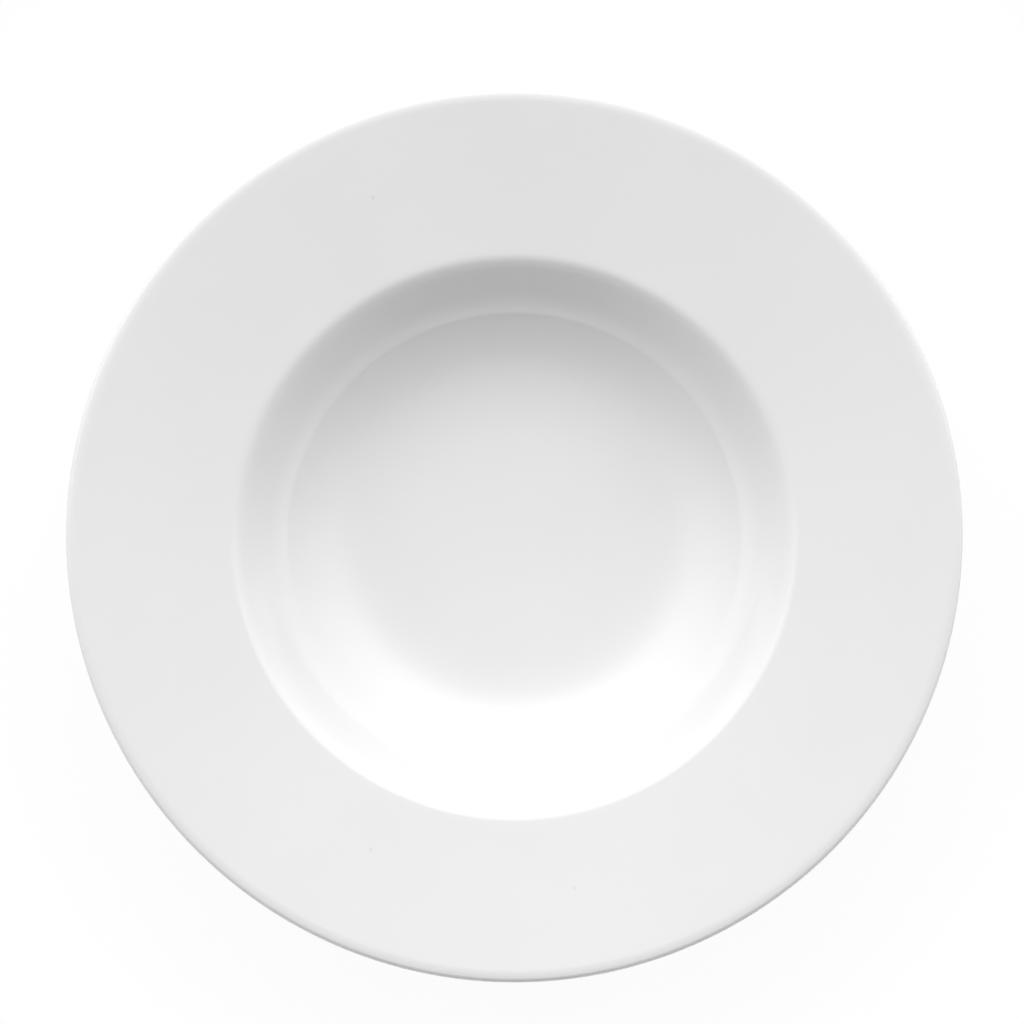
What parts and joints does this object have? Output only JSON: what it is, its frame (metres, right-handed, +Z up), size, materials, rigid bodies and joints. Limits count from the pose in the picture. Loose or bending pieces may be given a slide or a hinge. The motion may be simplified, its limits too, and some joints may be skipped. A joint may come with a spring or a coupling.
{
  "type": "pasta plate",
  "caption": "Round white porcelain pasta plate with a wide, gently rising rim, a deep curved well and a foot ring.",
  "frame": {"origin": "centre of the foot ring, on the surface that the plate stands on", "axes": "+Z up along the plate's axis of turning; X and Y are alike"},
  "size_m": [0.3, 0.3, 0.0443],
  "materials": {
    "bare_porcelain": "unglazed, ground smooth on the foot",
    "white_glaze": "glossy white glaze",
    "base_glaze": "glossy white glaze inside the foot ring"
  },
  "bodies": {
    "root": {"porcelain_body": "bare_porcelain", "face_glaze": "white_glaze", "base_glaze": "base_glaze"}
  },
  "joints": []
}
